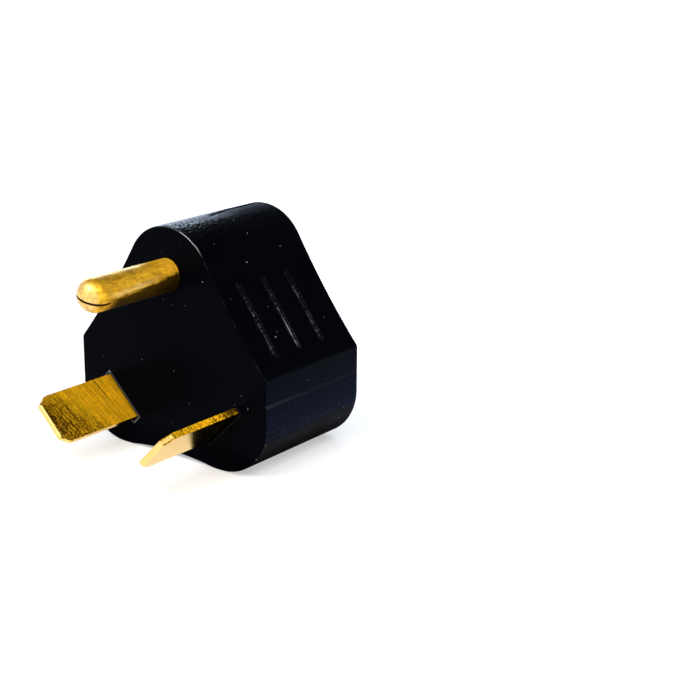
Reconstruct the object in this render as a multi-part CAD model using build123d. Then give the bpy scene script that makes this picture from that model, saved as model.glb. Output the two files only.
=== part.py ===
from build123d import *
import math
import os

# A moulded adapter plug. X runs across its width, its prongs point along -Y, and Z is up.
# The origin is the centre of the base, level with its two feet. All sizes are in millimetres.

# Body: a straight prism with upright sides, hollow flanks and base, and a round top lobe
body_width = 47.6
body_height = 45.9
body_depth = 28.8
base_corner_radius = 11.0
base_hollow = 0.9
foot_width = 2.0
foot_round = 6.0
shoulder_height = 20.2
shoulder_round = 1.2
lobe_radius = 10.5
flank_radius = 160.0
rim_round = 0.4
bridge_wall = 3.2
prong_wall = 4.2

# Grip ribs: low round bars laid across each flank
rib_count = 3
rib_pitch = 7.0
rib_shift = 1.3
rib_radius = 1.0
rib_rise = 0.25
rib_taper = 3.0
rib_top_gap = 6.5
rib_foot_gap = 4.0

# Prongs
blade_width = 10.3
blade_thickness = 1.25
blade_reach = 19.3
blade_inset = 10.6
blade_height = 9.4
blade_tilt = 45.0
tip_corner_across = 1.4
tip_corner_along = 2.0
blade_lead_in = 0.25
pin_diameter = 6.45
pin_shank_diameter = 5.4
pin_reach = 22.1
pin_drop = 9.4
seam_drop = 0.35
seam_tilt = 17.0
seam_width = 0.45
seam_depth = 0.35
seam_run = 1.5

# Raised lip that the mould leaves round each blade
lip_rise = 0.18
lip_slope = 0.14
lip_width = 0.35

# Staked tails that hold each prong to its contact strip
blade_tenon_width = 4.4
pin_tenon_diameter = 3.6
stake_rise = 0.7
stake_lip = 0.5

# Receptacle for a grounded household plug
slot_spacing = 12.7
ground_offset = 11.9
slot_line_height = 12.4
slot_width = 2.1
neutral_slot_length = 8.6
hot_slot_length = 7.0
ground_hole_width = 5.4
ground_hole_straight = 2.7
slot_lead_in = 0.4

# Contact core: the block whose face shows at the receptacle end
core_face = 2.6
core_wall = 1.5
core_corner = 2.4

# Prong bridge: the plate that holds the prongs upright behind the prong wall
bridge_thickness = 4.2

# Contacts: strip folded into a pair of spring leaves, with a strap to the prong
strip_thickness = 0.7
blade_leaf_width = 6.8
blade_leaf_root = 4.0
blade_leaf_pinch = 1.2
blade_leaf_mouth = 2.8
ground_leaf_width = 4.6
ground_leaf_root = 6.2
ground_leaf_pinch = 4.4
ground_leaf_mouth = 5.8
leaf_setback = 2.4
leaf_straight = 4.0
leaf_flare = 2.6
strap_margin = 1.8

# Clearances between the pieces
seat_clearance = 0.05
prong_clearance = 0.08
mouth_relief = 0.25

# Places that follow from the sizes above
prong_face = -body_depth / 2
receptacle_face = body_depth / 2
bridge_front = prong_face + prong_wall
core_rear = bridge_front + bridge_thickness
strap_front = core_rear - strip_thickness
pocket_end = receptacle_face - core_face
leaf_end = pocket_end - leaf_setback
ground_hole_height = slot_line_height + ground_offset
ground_hole_radius = ground_hole_width / 2
pin_radius = pin_diameter / 2
pin_height = body_height - pin_drop
blade_spread = body_width - 2 * blade_inset
neutral_side = -1
hot_side = 1


def slab(sketch, rear, front):
    """Stands a sketch upright, X across and Z up, and fills it from rear to front along Y."""
    standing = Plane(origin=(0, rear, 0), x_dir=(1, 0, 0), z_dir=(0, -1, 0))
    return extrude(standing * sketch, amount=rear - front)


def grown(sketch, amount):
    """The same outline, moved out all round by a clearance."""
    return offset(sketch, amount, kind=Kind.INTERSECTION)


def flank_points():
    """The flank arc's centre, and its ends at the lobe and at the shoulder."""
    lobe = Vector(0, body_height - lobe_radius)
    shoulder = Vector(body_width / 2, shoulder_height)
    span = shoulder - lobe
    to_lobe = flank_radius + lobe_radius
    along = (span.length**2 + to_lobe**2 - flank_radius**2) / (2 * span.length)
    across = math.sqrt(to_lobe**2 - along**2)
    unit = span.normalized()
    centre = lobe + unit * along + Vector(-unit.Y, unit.X) * across
    tangent = lobe + (centre - lobe).normalized() * lobe_radius
    return centre, tangent, shoulder


def arc_middle(centre, start, end):
    """The point halfway along the short arc about a centre."""
    middle = (start + end) * 0.5 - centre
    return centre + middle.normalized() * (start - centre).length


def base_points():
    """The hollow base's arc centre and peak, and the inner and outer ends of the foot on its right."""
    outer = Vector(body_width / 2 - base_corner_radius, 0)
    inner = outer - Vector(foot_width, 0)
    radius = (inner.X**2 + base_hollow**2) / (2 * base_hollow)
    peak = Vector(0, base_hollow)
    return peak - Vector(0, radius), peak, inner, outer


def body_profile():
    """The outline that the body keeps along its whole depth."""
    centre, tangent, shoulder = flank_points()
    arch, peak, inner, foot = base_points()
    lobe = Vector(0, body_height - lobe_radius)
    crown = Vector(0, body_height)
    corner = Vector(foot.X, base_corner_radius)
    side = Vector(shoulder.X, corner.Y)
    half = Curve() + [
        ThreePointArc(peak, arc_middle(arch, peak, inner), inner),
        Line(inner, foot),
        ThreePointArc(foot, arc_middle(corner, foot, side), side),
        Line(side, shoulder),
        ThreePointArc(shoulder, arc_middle(centre, shoulder, tangent), tangent),
        ThreePointArc(tangent, arc_middle(lobe, tangent, crown), crown),
    ]
    outline = make_face(half + mirror(half, about=Plane.YZ))
    shoulders = [v for v in outline.vertices() if abs(v.Y - shoulder.Y) < 1e-3]
    outline = fillet(shoulders, shoulder_round)
    feet = [v for v in outline.vertices() if abs(v.Y) < 1e-3 and abs(abs(v.X) - inner.X) < 1e-3]
    return fillet(feet, foot_round)


def grip_ribs():
    """Round bars with tapered ends, sunk into each flank so that only their crests stand out."""
    centre, tangent, shoulder = flank_points()
    start = (tangent - centre).rotate(Axis.Z, math.degrees(rib_top_gap / flank_radius))
    end = (shoulder - centre).rotate(Axis.Z, -math.degrees(rib_foot_gap / flank_radius))
    chord = end - start
    inward = Vector(chord.Y, -chord.X).normalized()
    top = centre + start + inward * (rib_radius - rib_rise)
    foot = top + chord
    end_taper = Cone(rib_radius, 0, rib_taper, align=(Align.CENTER, Align.CENTER, Align.MIN))
    bars = []
    for index in range(rib_count):
        y = (index - (rib_count - 1) / 2) * rib_pitch - rib_shift
        upward = Plane(origin=(top.X, y, top.Y), z_dir=(-chord.X, 0, -chord.Y))
        downward = Plane(origin=(foot.X, y, foot.Y), z_dir=(chord.X, 0, chord.Y))
        bar = extrude(upward * Circle(rib_radius), amount=-chord.length)
        bar += upward * end_taper
        bar += downward * end_taper
        bars += [bar, mirror(bar, about=Plane.YZ)]
    return bars


def blade_place(side):
    """Where a blade crosses the prong face. Its upper end leans outwards."""
    return Pos(side * blade_spread / 2, blade_height) * Rot(0, 0, side * blade_tilt)


def blade_section(side, gap=0.0):
    return blade_place(side) * Rectangle(blade_width + 2 * gap, blade_thickness + 2 * gap)


def blade_tenon(side, grow=0.0):
    return blade_place(side) * Rectangle(blade_tenon_width + 2 * grow, blade_thickness + 2 * grow)


def pin_shank(gap=0.0):
    return Pos(0, pin_height) * Circle(pin_shank_diameter / 2 + gap)


def pin_tenon(grow=0.0):
    return Pos(0, pin_height) * Circle(pin_tenon_diameter / 2 + grow)


def raised_lip(mouth):
    """A low bank with a sloping edge round the mouth of a blade's slot."""
    bank = slab(offset(mouth, lip_width), prong_face, prong_face - lip_rise)
    crest = bank.faces().sort_by(Axis.Y)[0].edges()
    return chamfer(crest, lip_slope)


def stake_heads(gap=0.0):
    """The upset ends of the three tails, behind their straps."""
    heads = [blade_tenon(neutral_side, stake_lip + gap), blade_tenon(hot_side, stake_lip + gap)]
    heads.append(pin_tenon(stake_lip + gap))
    return [slab(head, core_rear + stake_rise + gap, core_rear) for head in heads]


def core_outline():
    """Wide below, around the blade pockets, and narrower above, around the ground pocket."""
    foot = slot_line_height - neutral_slot_length / 2 - core_wall
    crest = ground_hole_height + ground_hole_radius + core_wall
    low_half = slot_spacing / 2 + blade_leaf_root / 2 + strip_thickness + core_wall
    top_half = ground_leaf_root / 2 + strip_thickness + core_wall + core_corner
    waist = slot_line_height + neutral_slot_length / 2
    outline = make_face(
        Polyline(
            (-low_half, foot),
            (low_half, foot),
            (low_half, waist),
            (top_half, crest),
            (-top_half, crest),
            (-low_half, waist),
            close=True,
        )
    )
    return fillet(outline.vertices(), core_corner)


def contact_pocket(root, height):
    """The clear outline that a contact's pair of leaves stands in."""
    return Rectangle(root + 2 * strip_thickness + 2 * seat_clearance, height)


def ground_hole():
    """Round above and square below, as a grounding prong needs."""
    square = Pos(0, -ground_hole_straight / 2) * Rectangle(ground_hole_width, ground_hole_straight)
    return Pos(0, ground_hole_height) * (Circle(ground_hole_radius) + square)


def make_body():
    profile = body_profile()
    body = slab(profile, receptacle_face, prong_face)
    rims = body.faces().filter_by(Axis.Y).edges()
    body = fillet(rims, rim_round)
    body = body + grip_ribs()
    body -= slab(grown(core_outline(), seat_clearance), receptacle_face, core_rear)
    body -= slab(offset(profile, -bridge_wall), core_rear, bridge_front)
    body -= stake_heads(seat_clearance)
    body -= slab(pin_shank(prong_clearance), bridge_front, prong_face)
    for side in (neutral_side, hot_side):
        slot = blade_section(side, prong_clearance)
        mouth = grown(slot, mouth_relief)
        body += raised_lip(mouth)
        body -= slab(slot, bridge_front, prong_face)
        body -= slab(mouth, prong_face + mouth_relief, prong_face - lip_rise)
    return body


def make_core():
    core = slab(core_outline(), receptacle_face, core_rear)
    slots = {neutral_side: neutral_slot_length, hot_side: hot_slot_length}
    for side, length in slots.items():
        place = Pos(side * slot_spacing / 2, slot_line_height)
        pocket = place * contact_pocket(blade_leaf_root, neutral_slot_length)
        core -= slab(pocket, pocket_end, core_rear)
        core -= slab(place * Rectangle(slot_width, length), receptacle_face, pocket_end)
    pocket = Pos(0, ground_hole_height) * contact_pocket(ground_leaf_root, ground_hole_width)
    core -= slab(pocket, pocket_end, core_rear)
    core -= slab(ground_hole(), receptacle_face, pocket_end)
    mouth = core.faces().sort_by(Axis.Y)[-1].inner_wires().edges()
    core = chamfer(mouth, slot_lead_in)
    return core - stake_heads(seat_clearance)


def strap_outline(side):
    """A tapered link from a contact's leaves to the tail of its prong."""
    if side == 0:
        base = Pos(0, ground_hole_height) * Rectangle(
            ground_leaf_root + 2 * strip_thickness, ground_leaf_width
        )
        pad = pin_tenon(stake_lip + strap_margin)
    else:
        base = Pos(side * slot_spacing / 2, slot_line_height) * Rectangle(
            blade_leaf_root + 2 * strip_thickness, blade_leaf_width
        )
        pad = blade_place(side) * Circle(blade_tenon_width / 2 + strap_margin)
    return make_hull(base.edges() + pad.edges())


def leaf(root, pinch, mouth):
    """One spring leaf, seen from above: straight, then closing to the pinch, then flared."""
    path = Polyline(
        ((root + strip_thickness) / 2, strap_front + strip_thickness / 2),
        ((root + strip_thickness) / 2, core_rear + leaf_straight),
        ((pinch + strip_thickness) / 2, leaf_end - leaf_flare),
        ((mouth + strip_thickness) / 2, leaf_end),
    )
    return trace(path, strip_thickness)


def make_contact(side):
    if side == 0:
        place = (0, ground_hole_height)
        width = ground_leaf_width
        shape = leaf(ground_leaf_root, ground_leaf_pinch, ground_leaf_mouth)
        tail = pin_tenon()
    else:
        place = (side * slot_spacing / 2, slot_line_height)
        width = blade_leaf_width
        shape = leaf(blade_leaf_root, blade_leaf_pinch, blade_leaf_mouth)
        tail = blade_tenon(side)
    blank = extrude(shape, amount=width / 2, both=True)
    contact = slab(strap_outline(side), core_rear, strap_front)
    contact -= slab(tail, core_rear, strap_front)
    spot = Pos(place[0], 0, place[1])
    contact += spot * blank
    contact += spot * mirror(blank, about=Plane.YZ)
    return contact


def make_blade(side):
    tip = prong_face - blade_reach
    half = blade_width / 2
    outline = make_face(
        Polyline(
            (-half, strap_front),
            (-half, tip + tip_corner_along),
            (-half + tip_corner_across, tip),
            (half - tip_corner_across, tip),
            (half, tip + tip_corner_along),
            (half, strap_front),
            close=True,
        )
    )
    strip = extrude(outline, amount=blade_thickness / 2, both=True)
    faces = strip.faces().filter_by(Axis.Z)
    lead = faces.edges().filter_by_position(Axis.Y, tip, tip + tip_corner_along)
    strip = chamfer(lead, blade_lead_in)
    place = Pos(side * blade_spread / 2, 0, blade_height) * Rot(0, -side * blade_tilt, 0)
    blade = place * strip
    blade += slab(blade_tenon(side), core_rear, strap_front)
    blade += slab(blade_tenon(side, stake_lip), core_rear + stake_rise, core_rear)
    return blade


def pin_seam(shoulder):
    """The groove over the pin's nose, where its two halves were pressed together."""
    rear = shoulder + seam_run
    core = slab(Pos(0, pin_height) * Circle(pin_radius - seam_depth), rear, shoulder)
    core += Pos(0, shoulder, pin_height) * Sphere(pin_radius - seam_depth)
    length = pin_radius + seam_run
    middle = Pos(0, rear - length / 2, pin_height - seam_drop)
    sheet = middle * Rot(0, seam_tilt, 0) * Box(pin_diameter, length, seam_width)
    return sheet - core


def make_ground_pin():
    shoulder = prong_face - pin_reach + pin_radius
    pin = slab(Pos(0, pin_height) * Circle(pin_radius), prong_face, shoulder)
    pin += Pos(0, shoulder, pin_height) * Sphere(pin_radius)
    pin += slab(pin_shank(), strap_front, prong_face)
    pin += slab(pin_tenon(), core_rear, strap_front)
    pin += slab(pin_tenon(stake_lip), core_rear + stake_rise, core_rear)
    return pin - pin_seam(shoulder)


def make_bridge():
    plate = slab(offset(body_profile(), -bridge_wall - seat_clearance), core_rear, bridge_front)
    for side in (neutral_side, hot_side):
        plate -= slab(blade_section(side, prong_clearance), core_rear, bridge_front)
    plate -= slab(pin_shank(prong_clearance), core_rear, bridge_front)
    for side in (neutral_side, 0, hot_side):
        plate -= slab(grown(strap_outline(side), seat_clearance), core_rear, strap_front)
    return plate


pieces = {
    "body": make_body(),
    "contact_core": make_core(),
    "prong_bridge": make_bridge(),
    "neutral_blade": make_blade(neutral_side),
    "hot_blade": make_blade(hot_side),
    "ground_pin": make_ground_pin(),
    "neutral_contact": make_contact(neutral_side),
    "hot_contact": make_contact(hot_side),
    "ground_contact": make_contact(0),
}
os.makedirs("parts", exist_ok=True)
for name, piece in pieces.items():
    export_step(piece, f"parts/{name}.step")
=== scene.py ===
import math

import bmesh
import bpy
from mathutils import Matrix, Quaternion, Vector


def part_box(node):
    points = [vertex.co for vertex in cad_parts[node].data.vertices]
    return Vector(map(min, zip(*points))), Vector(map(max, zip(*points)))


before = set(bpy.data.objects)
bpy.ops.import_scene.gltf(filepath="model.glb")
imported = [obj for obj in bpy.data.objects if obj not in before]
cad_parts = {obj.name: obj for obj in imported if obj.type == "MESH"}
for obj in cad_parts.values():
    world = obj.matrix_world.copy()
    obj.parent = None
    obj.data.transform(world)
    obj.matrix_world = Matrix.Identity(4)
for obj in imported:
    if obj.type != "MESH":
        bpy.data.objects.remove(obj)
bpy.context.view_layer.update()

# The looks of a moulded adapter plug with brass prongs, standing on a pale floor under soft light.
# Lengths are in metres, angles in degrees, colours linear. Heights of a bump are in millimetres.
# A pair of numbers is the start and the end of a change. Marks are per metre. A cover is the pair of
# noise values between which marks come in. A facing is such a pair for one axis of the way that a
# surface faces.

body_low, body_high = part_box("body")
blade_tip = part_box("neutral_blade")[0].y
pin_low, pin_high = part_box("ground_pin")
body_height = body_high.z - body_low.z
half_width = body_high.x
half_depth = body_high.y
front_face = -half_depth
pin_height = (pin_low.z + pin_high.z) / 2
pin_radius = (pin_high.z - pin_low.z) / 2
pin_tip = pin_low.y
MM = 0.001
whole = (0.0, 1.0)
noise_mean = 0.5
noise_middle = (0.3, 0.7)

# Camera, as the photograph was taken
image_pixels = 673
sensor_width = 36.0
focal_pixels = 1480.6
near_clip = 0.01
camera_azimuth = 36.83
camera_elevation = 16.67
camera_roll = 0.49
camera_distance = 0.2826
camera_aim = Vector((0.02564, 0.00480, 0.02463))

# Colours
pvc_black = (0.0008, 0.0010, 0.0020, 1)
pvc_scuffed = (0.022, 0.024, 0.028, 1)
# Faint blue for the painted sheen on the side walls, standing in for reflected light
pvc_painted_sheen = (0.0070, 0.0112, 0.0350, 1)
pvc_dust = (0.140, 0.145, 0.155, 1)
pvc_sheen = (0.60, 0.76, 1.0, 1)
core_black = (0.0020, 0.0021, 0.0026, 1)
core_scuffed = (0.016, 0.016, 0.018, 1)
bridge_grey = (0.040, 0.040, 0.041, 1)
bridge_pale = (0.070, 0.070, 0.070, 1)
brass_bright = (0.965, 0.575, 0.014, 1)
pin_bright = (0.970, 0.575, 0.036, 1)
# Dark brass for tarnish, and for the painted shade along the pin's top
brass_tarnish_and_shade = (0.340, 0.150, 0.004, 1)
brass_olive = (0.600, 0.410, 0.005, 1)
# Pale brass for painted light: a painted highlight on the tips and nose, and a painted reflection of the
# floor under the pin
brass_painted_light = (0.930, 0.660, 0.240, 1)
# Near-black brass for grime in the seam, scratches and specks, and for the painted shade under the pin
brass_grime_and_shade = (0.050, 0.022, 0.002, 1)
strip_bright = (0.700, 0.440, 0.110, 1)
strip_tarnished = (0.380, 0.210, 0.050, 1)
floor_white = (0.60, 0.60, 0.60, 1)
pure_white = (1.0, 1.0, 1.0, 1)
world_front = (0.90, 0.92, 0.95, 1)
world_back = (0.10, 0.11, 0.13, 1)
cool_white = (0.58, 0.74, 1.0)

# Floor, backdrop and lamps
floor_radius = 6.0
floor_segments = 64
floor_drop = 0.01 * MM
floor_roughness = 0.9
floor_reach = (0.10, 0.60)
floor_glow = (0.45, 0.95)
backdrop_rise = (0.14, 0.40)
front_to_back = (-0.10, 0.40)
lamp_distance = 0.9

# Rubbed edges and dust on the mouldings
edge_lean = (0.12, 0.35)
face_lean = (0.985, 0.93)
edge_facing = (0.25, 0.55)
rub_marks = 420.0
rub_cover = (0.46, 0.66)
dust_marks = 1300.0
dust_cover = (0.855, 0.875)

# The body's skin, smoother on the crown, and more matt by the base and at the rear of the crown
crown_rise = (body_height - 5 * MM, body_height - 1 * MM)
crown_facing = (0.2, 0.6)
rear_of_crown = (-0.6 * half_depth, 0.6 * half_depth)
base_rounding = (8 * MM, 3 * MM)
skin_roughness = (0.20, 0.30)
crown_smoothing = (1.0, 0.5)
scuff_share = 0.35
scuff_roughness = 0.2
base_roughness = 0.6
rear_roughness = 0.42
skin_specular = 0.012
skin_ripple_height = 0.018
skin_grain_height = 0.003

# Gloss where the body is rubbed: the crown's rim, and the lip round each blade, most on the neutral side
rim_rise = (body_height - 5 * MM, body_height - 2.5 * MM)
lip_rise = (front_face - 0.02 * MM, front_face - 0.06 * MM)
hot_to_neutral = (2 * MM, -2 * MM)
lip_gloss = (0.03, 0.7)
gloss_roughness = 0.05
gloss_ior = 1.8

# Painted sheen on the upright side walls: a faint blue in the base colour that stands in for the light they
# reflect
wall_facing = (0.93, 0.995)
sheen_rise = (0.44 * body_height, 0.16 * body_height)
sheen_share = (0.15, 1.0)
sheen_cover = (0.40, 0.64)

# Mould parting line on the upright side walls: a pair of fine lines, rubbed towards the front
parting_rise = 0.325 * body_height
parting_half_gap = 0.20 * MM
parting_line_width = 0.11 * MM
parting_wall = half_width - 0.1 * MM
parting_gloss = (0.30, 0.04)
parting_height = 0.05

# Grip ribs, rubbed to a broken gloss along their tops
rib_pitch = 7.0 * MM
rib_shift = -1.3 * MM
rib_reach = 1.5 * rib_pitch
rib_half_turn = 0.5
rib_top = (0.60 * MM, 0.36 * MM)
rib_foot = (0.50 * body_height, 0.54 * body_height)
rib_head = (0.74 * body_height, 0.70 * body_height)
rib_break_marks = 1500.0
rib_break_cover = (0.42, 0.72)
rib_break_gloss = 0.34
rib_rub_marks = 900.0
rib_rub_cover = (0.34, 0.64)
rib_rub_rise = (0.66 * body_height, 0.54 * body_height)
rib_rub_gloss = 0.8

# Flow marks that run along the crown of the moulding, and finer flecks
flow_marks = (420.0, 150.0, 420.0)
flow_height = 0.26
fleck_marks = (1800.0, 1700.0, 1800.0)
fleck_height = (0.03, 0.25)

# A wavy matt line beside the top of the crown, over its rear half
knit_place = 0.3 * MM
knit_veer = 1.4 * MM
knit_veer_run = (-3.5 * MM, 6 * MM)
knit_marks = 260.0
knit_wander = 1.2 * MM
knit_half_width = 0.90 * MM
knit_run = (-3.5 * MM, -1.0 * MM)
knit_roughness = 0.8
knit_depth = 0.12

# The core and the bridge
core_roughness = (0.38, 0.52)
core_scuff_share = 0.4
core_specular = 0.04
core_ripple_height = 0.015
core_grain_height = 0.008
bridge_roughness = (0.45, 0.60)
bridge_grain_height = 0.010

# All brass: tarnish patches, brushed lines, and smooth faces towards the tips, painted pale as a painted
# highlight
patch_size = 3 * MM
patch_cover = (0.42, 0.70)
patch_base = 0.5
line_drift = 0.8 * MM
drift_marks = 130.0
line_roughness = 0.12
least_roughness = 0.06
dark_line_cover = (0.60, 0.36)
downward_facing = (-0.65, -0.35)
tip_facing = (-0.35, -0.75)

# Blades: the lines lean as they cross, and wear gathers at the lower corner of the tip
line_lean = 0.25
wear_lean = 1.0
wear_reach = (front_face + 6 * MM, blade_tip + 7 * MM)
blade_line_shade = 0.35
blade_underside_brushing = 0.08
scratch_cover = (0.45, 0.31)
scratch_at_tip = 0.13
olive_marks = 340.0
olive_cover = (0.42, 0.62)
olive_share = 0.45
olive_fade_out = (0.8, 0.2)
# The tinge fades by the root, a painted brightening of the root
olive_fade_in = (0.0, 0.2)
olive_at_root = (0.3, 1.0)
blade_matt_span = (0.0, 0.7)
blade_matt_root = (0.14, 0.0)
speck_marks = 2300.0
speck_cover = (0.48, 0.60)
speck_tip_span = (0.1, 1.0)
speck_tip_share = (0.18, 0.90)
speck_edge_share = (0.60, 0.93)
speck_edge_facing = (0.2, 0.5)
speck_root_run = (front_face - 7 * MM, front_face - 1 * MM)
speck_root_gain = 0.18

# Pin: streaks and mottle along it, painted shade on its underside with a painted reflection of the floor in
# a pale strip above it, painted shade along its top, tarnish faded by the root as a painted brightening, and
# a polished nose
streak_marks = (620.0, 110.0, 620.0)
streak_cover = (0.46, 0.66)
mottle_marks = (1900.0, 600.0, 1900.0)
mottle_cover = (0.46, 0.62)
mottle_share = 0.42
ragged_marks = (1500.0, 420.0, 1500.0)
ragged_share = 0.7
pin_line_shade = 0.12
# Painted shade: a darker band along the pin's top, where it faces upwards
pin_top_shade_facing = (0.60, 0.85)
pin_top_shade_share = 0.75
pin_top_shade_cover = (0.35, 0.65)
pin_nose_share = 0.65
# Painted brightening: tarnish and mottle fade by the pin's root
pin_root_run = (front_face, front_face - 5 * MM)
pin_root_share = (0.5, 1.0)
pin_matt_run = (front_face - 9 * MM, front_face)
pin_matt_root = 0.25
pin_matt_facing = (-0.3, 0.1)
pin_polish = (0.05, 0.7)
pin_polish_roughness = 0.22
shade_run = (blade_tip + 4 * MM, front_face)
shade_climb = 0.45
shade_level = (0.30, 0.05)
shade_root_span = (0.3, 1.0)
shade_share = (0.93, 0.985)
reflection_start = (0.20, 0.32)
reflection_end = (0.58, 0.38)
reflection_root_span = (0.9, 0.2)
reflection_share = 0.6

# The pin's pressed seam, where grime stays
seam_drop = 0.35 * MM
seam_tilt = math.radians(17.0)
seam_side = (0.28125 * MM, 0.19125 * MM)
seam_run = (pin_tip + pin_radius + 1.5 * MM, pin_tip + pin_radius + 1.0 * MM)


def node(tree, kind, inputs=None, **settings):
    """Adds a node, sets its options, and fills or links its inputs."""
    made = tree.nodes.new(kind)
    for name, value in settings.items():
        setattr(made, name, value)
    for name, value in (inputs or {}).items():
        if isinstance(value, bpy.types.NodeSocket):
            tree.links.new(value, made.inputs[name])
        else:
            made.inputs[name].default_value = value
    return made


def maths(tree, operation, first, second=0.0, clamp=False):
    made = node(tree, "ShaderNodeMath", {0: first, 1: second}, operation=operation, use_clamp=clamp)
    return made.outputs[0]


def chained(tree, operation, values):
    """One operation carried along a row of values."""
    result = values[0]
    for value in values[1:]:
        result = maths(tree, operation, result, value)
    return result


def product(tree, *values):
    return chained(tree, "MULTIPLY", values)


def total(tree, *values):
    return chained(tree, "ADD", values)


def greatest(tree, *values):
    return chained(tree, "MAXIMUM", values)


def less(tree, first, second):
    return maths(tree, "SUBTRACT", first, second)


def unsigned(tree, value):
    return maths(tree, "ABSOLUTE", value)


def split(tree, vector):
    """The X, Y and Z of a vector."""
    return node(tree, "ShaderNodeSeparateXYZ", {0: vector}).outputs


def ramp(tree, value, span, levels=whole):
    """Carries a value smoothly from the first level, where the span starts, to the second, where it ends."""
    inputs = {"Value": value, "From Min": span[0], "From Max": span[1]}
    inputs.update({"To Min": levels[0], "To Max": levels[1]})
    made = node(tree, "ShaderNodeMapRange", inputs, interpolation_type="SMOOTHSTEP")
    return made.outputs["Result"]


def blended(tree, mask, first, second):
    """The first colour where the mask is 0, and the second where it is 1."""
    made = node(tree, "ShaderNodeMix", {0: mask, 6: first, 7: second}, data_type="RGBA")
    return made.outputs[2]


def noise(tree, place, marks, detail=2.0, roughness=0.5, distortion=0.0):
    inputs = {"Vector": place, "Scale": marks, "Detail": detail, "Roughness": roughness}
    inputs["Distortion"] = distortion
    return node(tree, "ShaderNodeTexNoise", inputs).outputs["Fac"]


def drawn_noise(tree, place, marks, **settings):
    """Noise with its own number of marks along each axis."""
    drawn = node(tree, "ShaderNodeMapping", {"Vector": place, "Scale": marks}).outputs[0]
    return noise(tree, drawn, 1.0, **settings)


def effect_group(name, inputs, outputs):
    """A shader node group, with its named inputs and the values that it puts out."""
    group = bpy.data.node_groups.new(name, "ShaderNodeTree")
    for label, kind, value in inputs:
        made = group.interface.new_socket(name=label, in_out="INPUT", socket_type=kind)
        if value is not None:
            made.default_value = value
    for label in outputs:
        group.interface.new_socket(name=label, in_out="OUTPUT", socket_type="NodeSocketFloat")
    return group, group.nodes.new("NodeGroupInput").outputs, group.nodes.new("NodeGroupOutput").inputs


def moulding_grain():
    """The slow ripple and the fine grain of a moulded skin, as heights from 0 to 1."""
    group, given, out = effect_group(
        "moulding_grain",
        [
            ("Place", "NodeSocketVector", None),
            ("Ripple Length", "NodeSocketFloat", 6 * MM),
            ("Grain Size", "NodeSocketFloat", 0.3 * MM),
        ],
        ["Ripple", "Grain"],
    )
    ripple_marks = maths(group, "DIVIDE", 1.0, given["Ripple Length"])
    grain_marks = maths(group, "DIVIDE", 1.0, given["Grain Size"])
    ripple = noise(group, given["Place"], ripple_marks, detail=1.5, roughness=0.45)
    grain = noise(group, given["Place"], grain_marks, detail=2.0, roughness=0.6)
    group.links.new(ripple, out["Ripple"])
    group.links.new(grain, out["Grain"])
    return group


def edge_rub():
    """The rounded edges between faces across Y and faces along it, where they are rubbed, and odd specks."""
    group, given, out = effect_group(
        "edge_rub",
        [("Place", "NodeSocketVector", None), ("Facing", "NodeSocketVector", None)],
        ["Edge", "Rub", "Specks"],
    )
    facing = split(group, given["Facing"])
    lean = unsigned(group, facing["Y"])
    between = product(group, ramp(group, lean, edge_lean), ramp(group, lean, face_lean))
    edge = product(group, between, ramp(group, facing["Z"], edge_facing))
    patches = ramp(group, noise(group, given["Place"], rub_marks, detail=4.0, roughness=0.65), rub_cover)
    specks = ramp(group, noise(group, given["Place"], dust_marks, detail=0.0), dust_cover)
    group.links.new(edge, out["Edge"])
    group.links.new(product(group, edge, patches), out["Rub"])
    group.links.new(specks, out["Specks"])
    return group


def brush_lines():
    """Fine lines across a strip of brass, side by side along Y. They lean towards -Y as they rise."""
    group, given, out = effect_group(
        "brush_lines",
        [
            ("Place", "NodeSocketVector", None),
            ("Line Pitch", "NodeSocketFloat", 0.3 * MM),
            ("Line Length", "NodeSocketFloat", 9 * MM),
            ("Lean", "NodeSocketFloat", 0.0),
        ],
        ["Lines"],
    )
    along = maths(group, "DIVIDE", 1.0, given["Line Pitch"])
    across = maths(group, "DIVIDE", 1.0, given["Line Length"])
    spot = split(group, given["Place"])
    drift = product(group, noise(group, given["Place"], drift_marks, detail=0.0), line_drift)
    drifted = total(group, spot["Y"], product(group, spot["Z"], given["Lean"]), drift)
    axes = {
        "X": product(group, spot["X"], across),
        "Y": product(group, drifted, along),
        "Z": product(group, spot["Z"], across),
    }
    stretched = node(group, "ShaderNodeCombineXYZ", axes).outputs[0]
    group.links.new(noise(group, stretched, 1.0, detail=3.0, roughness=0.65), out["Lines"])
    return group


def tarnish():
    """Cloudy patches where the brass has dulled."""
    group, given, out = effect_group(
        "tarnish",
        [("Place", "NodeSocketVector", None), ("Patch Size", "NodeSocketFloat", 3 * MM)],
        ["Dull"],
    )
    patch_marks = maths(group, "DIVIDE", 1.0, given["Patch Size"])
    cloud = noise(group, given["Place"], patch_marks, detail=5.0, roughness=0.62, distortion=0.4)
    group.links.new(ramp(group, cloud, patch_cover), out["Dull"])
    return group


effects = {
    "grain": moulding_grain(),
    "rub": edge_rub(),
    "brush": brush_lines(),
    "tarnish": tarnish(),
}


def new_finish(name):
    """A material with one Principled shader, and the object's own coordinates to paint it by."""
    material = bpy.data.materials.new(name)
    material.use_nodes = True
    tree = material.node_tree
    tree.nodes.clear()
    shader = tree.nodes.new("ShaderNodeBsdfPrincipled")
    output = tree.nodes.new("ShaderNodeOutputMaterial")
    tree.links.new(shader.outputs[0], output.inputs["Surface"])
    coordinates = tree.nodes.new("ShaderNodeTexCoord").outputs
    return material, tree, shader, coordinates


def effect(tree, name, inputs):
    return node(tree, "ShaderNodeGroup", inputs, node_tree=effects[name]).outputs


def bump(tree, shader, height):
    """Turns a height in millimetres into the shader's normal."""
    made = node(tree, "ShaderNodeBump", {"Height": height, "Distance": MM, "Strength": 1.0})
    tree.links.new(made.outputs[0], shader.inputs["Normal"])


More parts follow.
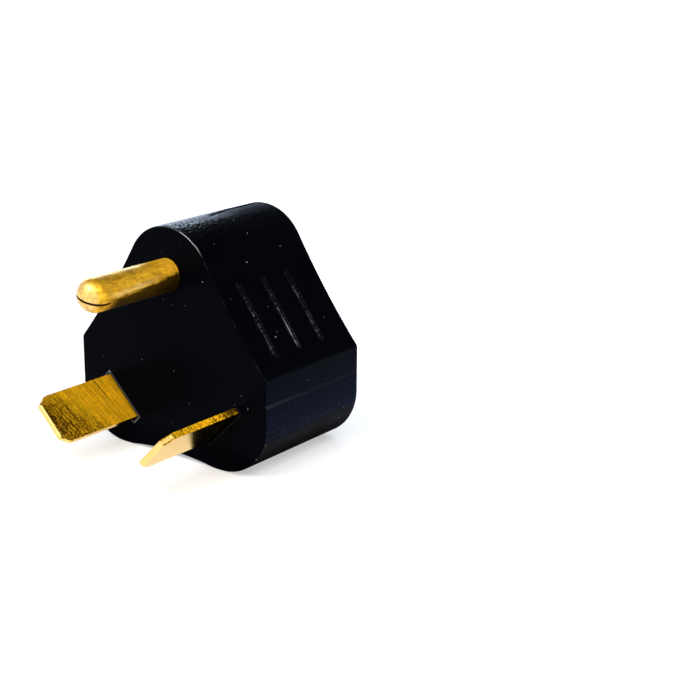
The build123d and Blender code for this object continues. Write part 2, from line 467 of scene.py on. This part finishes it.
def parting_lines(tree, spot):
    """1 on the pair of fine lines that the mould leaves along each side wall."""
    off_middle = unsigned(tree, less(tree, spot["Z"], parting_rise))
    off_line = unsigned(tree, less(tree, off_middle, parting_half_gap))
    on_wall = maths(tree, "GREATER_THAN", unsigned(tree, spot["X"]), parting_wall)
    return product(tree, ramp(tree, off_line, (parting_line_width, 0.0)), on_wall)


def painted_wall_sheen(tree, spot, facing, grain):
    """A painted sheen: faint blue in the base colour of the upright side walls, for the light they reflect,
    mottled, and stronger lower down.
    """
    on_wall = ramp(tree, unsigned(tree, facing["X"]), wall_facing)
    lower = ramp(tree, spot["Z"], sheen_rise, sheen_share)
    return product(tree, lower, ramp(tree, grain, sheen_cover), on_wall)


def knit_line(tree, spot):
    """1 along the wavy line that the flow of the plastic leaves beside the top of the crown."""
    along = node(tree, "ShaderNodeCombineXYZ", {"Y": spot["Y"]}).outputs[0]
    wander = product(tree, less(tree, noise(tree, along, knit_marks), noise_mean), knit_wander)
    veer = ramp(tree, spot["Y"], knit_veer_run, (0.0, knit_veer))
    off = unsigned(tree, total(tree, less(tree, spot["X"], knit_place), veer, wander))
    return product(tree, ramp(tree, off, (knit_half_width, 0.0)), ramp(tree, spot["Y"], knit_run))


def rib_gloss(tree, place, spot):
    """Broken gloss along the tops of the grip ribs. The middle one is rubbed most, at its lower end."""
    along = less(tree, spot["Y"], rib_shift)
    turn = maths(tree, "DIVIDE", along, rib_pitch)
    off = product(tree, unsigned(tree, less(tree, turn, maths(tree, "ROUND", turn))), rib_pitch)
    among = maths(tree, "LESS_THAN", unsigned(tree, along), rib_reach)
    on_flank = product(tree, ramp(tree, spot["Z"], rib_foot), ramp(tree, spot["Z"], rib_head))
    on_rib = product(tree, ramp(tree, off, rib_top), among, on_flank)
    broken = ramp(tree, noise(tree, place, rib_break_marks), rib_break_cover, (0.0, rib_break_gloss))
    middle = maths(tree, "LESS_THAN", unsigned(tree, turn), rib_half_turn)
    lower = ramp(tree, spot["Z"], rib_rub_rise, (0.0, rib_rub_gloss))
    rubbed = product(tree, lower, ramp(tree, noise(tree, place, rib_rub_marks), rib_rub_cover))
    return product(tree, on_rib, greatest(tree, broken, product(tree, middle, rubbed)))


def moulded_pvc():
    """Black moulded plastic with flow marks on its crown, and gloss where it is rubbed."""
    material, tree, shader, coordinates = new_finish("moulded_pvc")
    place = coordinates["Object"]
    spot = split(tree, place)
    facing = split(tree, coordinates["Normal"])
    grain = effect(tree, "grain", {"Place": place, "Ripple Length": 7 * MM, "Grain Size": 0.35 * MM})
    rub = effect(tree, "rub", {"Place": place, "Facing": coordinates["Normal"]})
    worn = product(tree, rub["Rub"], scuff_share)
    crown = product(tree, ramp(tree, spot["Z"], crown_rise), ramp(tree, facing["Z"], crown_facing))
    flow_line = product(tree, knit_line(tree, spot), crown)
    parting = parting_lines(tree, spot)

    # Base colour: black, with a painted blue sheen on the side walls that stands in for reflected light
    colour = blended(tree, painted_wall_sheen(tree, spot, facing, grain["Grain"]), pvc_black, pvc_painted_sheen)
    colour = blended(tree, worn, colour, pvc_scuffed)
    tree.links.new(blended(tree, rub["Specks"], colour, pvc_dust), shader.inputs["Base Color"])

    satin = ramp(tree, grain["Ripple"], noise_middle, skin_roughness)
    satin = product(tree, satin, ramp(tree, crown, whole, crown_smoothing))
    by_base = ramp(tree, spot["Z"], base_rounding, (0.0, base_roughness))
    at_rear = product(tree, crown, ramp(tree, spot["Y"], rear_of_crown, (0.0, rear_roughness)))
    satin = total(tree, satin, product(tree, worn, scuff_roughness), by_base, at_rear)
    satin = maths(tree, "ADD", satin, product(tree, flow_line, knit_roughness), clamp=True)
    tree.links.new(satin, shader.inputs["Roughness"])

    rim = product(tree, rub["Edge"], ramp(tree, spot["Z"], rim_rise))
    lip = product(tree, ramp(tree, spot["Y"], lip_rise), ramp(tree, spot["X"], hot_to_neutral, lip_gloss))
    rubbed_line = product(tree, parting, ramp(tree, spot["Y"], (front_face, 0.0), parting_gloss))
    gloss = greatest(tree, rim, lip, rib_gloss(tree, place, spot), rubbed_line)
    tree.links.new(gloss, shader.inputs["Coat Weight"])

    flow = drawn_noise(tree, place, flow_marks, detail=3.0, roughness=0.55, distortion=0.6)
    flow = less(tree, product(tree, flow, flow_height), product(tree, flow_line, knit_depth))
    flecks = product(tree, drawn_noise(tree, place, fleck_marks), ramp(tree, crown, whole, fleck_height))
    ripple = product(tree, grain["Ripple"], skin_ripple_height)
    fine_grain = product(tree, grain["Grain"], skin_grain_height)
    seam = product(tree, parting, parting_height)
    bump(tree, shader, total(tree, ripple, product(tree, flow, crown), flecks, fine_grain, seam))
    shader.inputs["Specular IOR Level"].default_value = skin_specular
    shader.inputs["Specular Tint"].default_value = pvc_sheen
    shader.inputs["Coat Roughness"].default_value = gloss_roughness
    shader.inputs["Coat IOR"].default_value = gloss_ior
    return material


def satin_core():
    """Satin black plastic for the receptacle's face."""
    material, tree, shader, coordinates = new_finish("satin_core")
    place = coordinates["Object"]
    grain = effect(tree, "grain", {"Place": place, "Ripple Length": 5 * MM, "Grain Size": 0.25 * MM})
    rub = effect(tree, "rub", {"Place": place, "Facing": coordinates["Normal"]})
    worn = greatest(tree, product(tree, rub["Rub"], core_scuff_share), rub["Specks"])
    tree.links.new(blended(tree, worn, core_black, core_scuffed), shader.inputs["Base Color"])
    tree.links.new(ramp(tree, grain["Grain"], noise_middle, core_roughness), shader.inputs["Roughness"])
    ripple = product(tree, grain["Ripple"], core_ripple_height)
    bump(tree, shader, total(tree, ripple, product(tree, grain["Grain"], core_grain_height)))
    shader.inputs["Specular IOR Level"].default_value = core_specular
    return material


def plain_bridge():
    """Plain grey plastic for the plate inside."""
    material, tree, shader, coordinates = new_finish("plain_bridge")
    place = coordinates["Object"]
    grain = effect(tree, "grain", {"Place": place, "Ripple Length": 4 * MM, "Grain Size": 0.4 * MM})
    tree.links.new(blended(tree, grain["Ripple"], bridge_grey, bridge_pale), shader.inputs["Base Color"])
    tree.links.new(ramp(tree, grain["Grain"], noise_middle, bridge_roughness), shader.inputs["Roughness"])
    bump(tree, shader, product(tree, grain["Grain"], bridge_grain_height))
    return material


def seam_grime(tree, spot):
    """1 in the seam over the pin's nose."""
    rise = product(tree, less(tree, spot["Z"], pin_height - seam_drop), math.cos(seam_tilt))
    off = unsigned(tree, total(tree, rise, product(tree, spot["X"], math.sin(seam_tilt))))
    return product(tree, ramp(tree, off, seam_side), ramp(tree, spot["Y"], seam_run))


def underside_shade_and_reflection(tree, place, facing, along):
    """Painted shade under the pin, whose ragged edge climbs towards the root, and a painted reflection of
    the floor, a pale strip just above it.
    """
    to_root = ramp(tree, along, shade_run)
    ragged = drawn_noise(tree, place, ragged_marks, detail=4.0, roughness=0.7)
    climb = product(tree, to_root, shade_climb)
    level = total(tree, less(tree, facing["Z"], climb), product(tree, ragged, ragged_share))
    behind_nose = ramp(tree, along, (pin_tip + pin_radius, pin_tip + 2 * pin_radius))
    share = product(tree, behind_nose, ramp(tree, to_root, shade_root_span, shade_share))
    underside_shade = product(tree, ramp(tree, level, shade_level), share)
    # Painted reflection of the floor: a pale strip just above the painted shade
    reflection_band = product(tree, ramp(tree, level, reflection_start), ramp(tree, level, reflection_end))
    rubbed = product(tree, reflection_band, ramp(tree, to_root, reflection_root_span, (0.0, reflection_share)))
    return underside_shade, product(tree, rubbed, behind_nose)


def blade_specks(tree, place, facing, spot, to_tip):
    """Fine dark specks on a blade, thickest at its tip and on its outer edge by the root."""
    outward = product(tree, maths(tree, "SIGN", spot["X"]), facing["X"])
    outer = ramp(tree, outward, speck_edge_facing)
    on_edge = product(tree, outer, ramp(tree, facing["Z"], speck_edge_facing))
    by_root = ramp(tree, spot["Y"], speck_root_run)
    thicker = product(tree, on_edge, by_root, speck_root_gain)
    specks = total(tree, noise(tree, place, speck_marks, detail=1.0, roughness=0.6), thicker)
    edge_share = product(tree, on_edge, ramp(tree, by_root, whole, speck_edge_share))
    share = greatest(tree, edge_share, ramp(tree, to_tip, speck_tip_span, speck_tip_share))
    return product(tree, ramp(tree, specks, speck_cover), share)


def olive_tinge(tree, place, to_tip):
    """A cloudy olive tinge on a blade, away from its tip and its root."""
    clouds = ramp(tree, noise(tree, place, olive_marks, detail=3.0), olive_cover, (0.0, olive_share))
    # Fading the tinge by the root paints the root lighter, for the light that falls there
    off_root = ramp(tree, to_tip, olive_fade_in, olive_at_root)
    return product(tree, clouds, ramp(tree, to_tip, olive_fade_out), off_root)


def brass(name, bright, dulled, line_pitch, line_height, smooth, dull, scratch=0.0, pin=False):
    """Brushed brass. The lines cross the strip, and scratches and dull patches gather towards the tips."""
    material, tree, shader, coordinates = new_finish(name)
    place = coordinates["Object"]
    spot = split(tree, place)
    facing = split(tree, coordinates["Normal"])
    to_tip = ramp(tree, total(tree, spot["Y"], product(tree, spot["Z"], wear_lean)), wear_reach)
    lean = 0.0 if pin else line_lean
    lines = effect(tree, "brush", {"Place": place, "Line Pitch": line_pitch, "Lean": lean})["Lines"]
    patches = effect(tree, "tarnish", {"Place": place, "Patch Size": patch_size})["Dull"]
    brushed = ramp(tree, facing["Z"], downward_facing, (1.0 if pin else blade_underside_brushing, 1.0))

    if pin:
        streaks = drawn_noise(tree, place, streak_marks, detail=4.0, roughness=0.65, distortion=0.5)
        # Painted shade: the pin's top is darkened by the way it faces, standing in for the dark it reflects,
        # blended in with the tarnish
        painted_top_shade = ramp(tree, facing["Z"], pin_top_shade_facing, (0.0, pin_top_shade_share))
        painted_top_shade = product(tree, painted_top_shade, ramp(tree, lines, pin_top_shade_cover))
        # Tarnish fades by the root, painting the root lighter for the light that falls on it
        off_root = ramp(tree, spot["Y"], pin_root_run, pin_root_share)
        patches = greatest(tree, patches, ramp(tree, streaks, streak_cover), painted_top_shade)
        patches = product(tree, patches, off_root)
    else:
        patches = product(tree, to_tip, total(tree, patch_base, patches))
    shade = product(tree, ramp(tree, lines, dark_line_cover), pin_line_shade if pin else blade_line_shade)
    dim = maths(tree, "ADD", shade, product(tree, patches, dull), clamp=True)
    colour = blended(tree, product(tree, dim, brushed), bright, dulled)
    if scratch:
        deep = less(tree, lines, product(tree, to_tip, scratch_at_tip))
        scored = product(tree, ramp(tree, deep, scratch_cover), scratch, brushed)
        colour = blended(tree, scored, colour, brass_grime_and_shade)
        tinge = product(tree, olive_tinge(tree, place, to_tip), brushed)
        colour = blended(tree, tinge, colour, brass_olive)
        specks = product(tree, blade_specks(tree, place, facing, spot, to_tip), brushed)
        colour = blended(tree, specks, colour, brass_grime_and_shade)
    # Painted highlight: faces towards the tips, and the pin's nose, are painted pale
    pale = ramp(tree, facing["Y"], tip_facing, (0.0, pin_nose_share if pin else 1.0))
    colour = blended(tree, pale, colour, brass_painted_light)
    if pin:
        mottle = drawn_noise(tree, place, mottle_marks, detail=3.0, roughness=0.65)
        # The mottle fades by the root too, the same painted brightening
        mottle = product(tree, ramp(tree, mottle, mottle_cover, (0.0, mottle_share)), off_root)
        colour = blended(tree, mottle, colour, brass_tarnish_and_shade)
        underside_shade, rubbed = underside_shade_and_reflection(tree, place, facing, spot["Y"])
        # Painted reflection of the floor in a pale strip above the painted shade
        colour = blended(tree, rubbed, colour, brass_painted_light)
        # Grime in the seam, and painted shade under the pin, in one dark colour
        colour = blended(tree, greatest(tree, seam_grime(tree, spot), underside_shade), colour, brass_grime_and_shade)
    tree.links.new(colour, shader.inputs["Base Color"])

    satin = ramp(tree, lines, noise_middle, (smooth, smooth + line_roughness))
    if scratch:
        satin = total(tree, satin, ramp(tree, to_tip, blade_matt_span, blade_matt_root))
    if pin:
        matt_root = ramp(tree, spot["Y"], pin_matt_run, (0.0, pin_matt_root))
        satin = total(tree, satin, product(tree, matt_root, ramp(tree, facing["Z"], pin_matt_facing)))
    roughness = total(tree, product(tree, satin, brushed), least_roughness)
    tree.links.new(roughness, shader.inputs["Roughness"])
    bump(tree, shader, product(tree, lines, line_height, brushed))
    shader.inputs["Metallic"].default_value = 1.0
    if pin:
        tree.links.new(ramp(tree, facing["Y"], tip_facing, pin_polish), shader.inputs["Coat Weight"])
        shader.inputs["Coat Roughness"].default_value = pin_polish_roughness
    return material


blade_brass = brass(
    "blade_brass",
    brass_bright,
    brass_tarnish_and_shade,
    line_pitch=0.20 * MM,
    line_height=0.13,
    smooth=0.54,
    dull=0.75,
    scratch=0.9,
)
pin_brass = brass(
    "pin_brass",
    pin_bright,
    brass_tarnish_and_shade,
    line_pitch=0.30 * MM,
    line_height=0.03,
    smooth=0.44,
    dull=0.6,
    pin=True,
)
contact_brass = brass(
    "contact_brass",
    strip_bright,
    strip_tarnished,
    line_pitch=0.25 * MM,
    line_height=0.01,
    smooth=0.26,
    dull=0.5,
)
finishes = {
    "body": moulded_pvc(),
    "contact_core": satin_core(),
    "prong_bridge": plain_bridge(),
    "neutral_blade": blade_brass,
    "hot_blade": blade_brass,
    "ground_pin": pin_brass,
    "neutral_contact": contact_brass,
    "hot_contact": contact_brass,
    "ground_contact": contact_brass,
}
for name, finish in finishes.items():
    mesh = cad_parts[name].data
    mesh.materials.clear()
    mesh.materials.append(finish)


def pale_floor():
    """White to the eye and in reflections, with the light and shade of the lamps on it near the plug."""
    material, tree, shader, coordinates = new_finish("pale_floor")
    ray = tree.nodes.new("ShaderNodeLightPath").outputs
    seen = greatest(tree, ray["Is Camera Ray"], ray["Is Glossy Ray"], ray["Is Transmission Ray"])
    length = node(tree, "ShaderNodeVectorMath", {0: coordinates["Object"]}, operation="LENGTH")
    glow = ramp(tree, length.outputs["Value"], floor_reach, floor_glow)
    tree.links.new(product(tree, seen, glow), shader.inputs["Emission Strength"])
    shader.inputs["Base Color"].default_value = floor_white
    shader.inputs["Emission Color"].default_value = pure_white
    shader.inputs["Roughness"].default_value = floor_roughness
    shader.inputs["Specular IOR Level"].default_value = 0.0
    return material


def make_floor():
    """A wide pale floor just under the base."""
    shape = bmesh.new()
    bmesh.ops.create_circle(shape, cap_ends=True, segments=floor_segments, radius=floor_radius)
    bmesh.ops.translate(shape, verts=shape.verts, vec=(0, 0, body_low.z - floor_drop))
    mesh = bpy.data.meshes.new("floor")
    shape.to_mesh(mesh)
    shape.free()
    floor = bpy.data.objects.new("floor", mesh)
    bpy.context.scene.collection.objects.link(floor)
    mesh.materials.append(pale_floor())


def direction(azimuth, elevation):
    """Towards a place round the plug. Azimuth 0 is in front of the prongs, and 90 is at its +X side."""
    a, e = math.radians(azimuth), math.radians(elevation)
    return Vector((math.sin(a) * math.cos(e), -math.cos(a) * math.cos(e), math.sin(e)))


def soft_light(name, azimuth, elevation, width, height, radiance, colour=(1, 1, 1)):
    """A soft box that faces the plug. Its radiance is its brightness as the camera would see it."""
    lamp = bpy.data.lights.new(name, "AREA")
    lamp.shape = "RECTANGLE"
    lamp.size = width
    lamp.size_y = height
    lamp.energy = radiance * math.pi * width * height
    lamp.color = colour
    light = bpy.data.objects.new(name, lamp)
    bpy.context.scene.collection.objects.link(light)
    back = direction(azimuth, elevation)
    light.visible_camera = False
    light.location = Vector((0, 0, body_height / 2)) + back * lamp_distance
    light.rotation_mode = "QUATERNION"
    light.rotation_quaternion = (-back).to_track_quat("-Z", "Y")


def make_world():
    """A white studio, lit from above in front, that darkens above the height of the backdrop behind."""
    world = bpy.data.worlds.new("studio")
    world.use_nodes = True
    tree = world.node_tree
    tree.nodes.clear()
    ray = split(tree, tree.nodes.new("ShaderNodeTexCoord").outputs["Generated"])
    above = blended(tree, ramp(tree, ray["Y"], front_to_back), world_front, world_back)
    colour = blended(tree, ramp(tree, ray["Z"], backdrop_rise), pure_white, above)
    background = node(tree, "ShaderNodeBackground", {"Color": colour, "Strength": 1.0})
    output = tree.nodes.new("ShaderNodeOutputWorld")
    tree.links.new(background.outputs[0], output.inputs["Surface"])
    bpy.context.scene.world = world


def make_camera():
    data = bpy.data.cameras.new("camera")
    data.sensor_width = sensor_width
    data.lens = focal_pixels * sensor_width / image_pixels
    data.clip_start = near_clip
    camera = bpy.data.objects.new("camera", data)
    bpy.context.scene.collection.objects.link(camera)
    back = direction(camera_azimuth, camera_elevation)
    camera.location = camera_aim + back * camera_distance
    camera.rotation_mode = "QUATERNION"
    level = (-back).to_track_quat("-Z", "Y")
    camera.rotation_quaternion = level @ Quaternion((0, 0, 1), math.radians(camera_roll))
    bpy.context.scene.camera = camera


make_floor()
make_world()
soft_light("front_strip", azimuth=-5.0, elevation=53.0, width=0.50, height=0.06, radiance=45.0)
soft_light("right_box", azimuth=80.0, elevation=55.0, width=0.80, height=0.42, radiance=4.2)
soft_light(
    "back_box", azimuth=232.0, elevation=17.0, width=0.35, height=0.24, radiance=17.0, colour=cool_white
)
make_camera()
bpy.context.scene.view_settings.view_transform = "Standard"
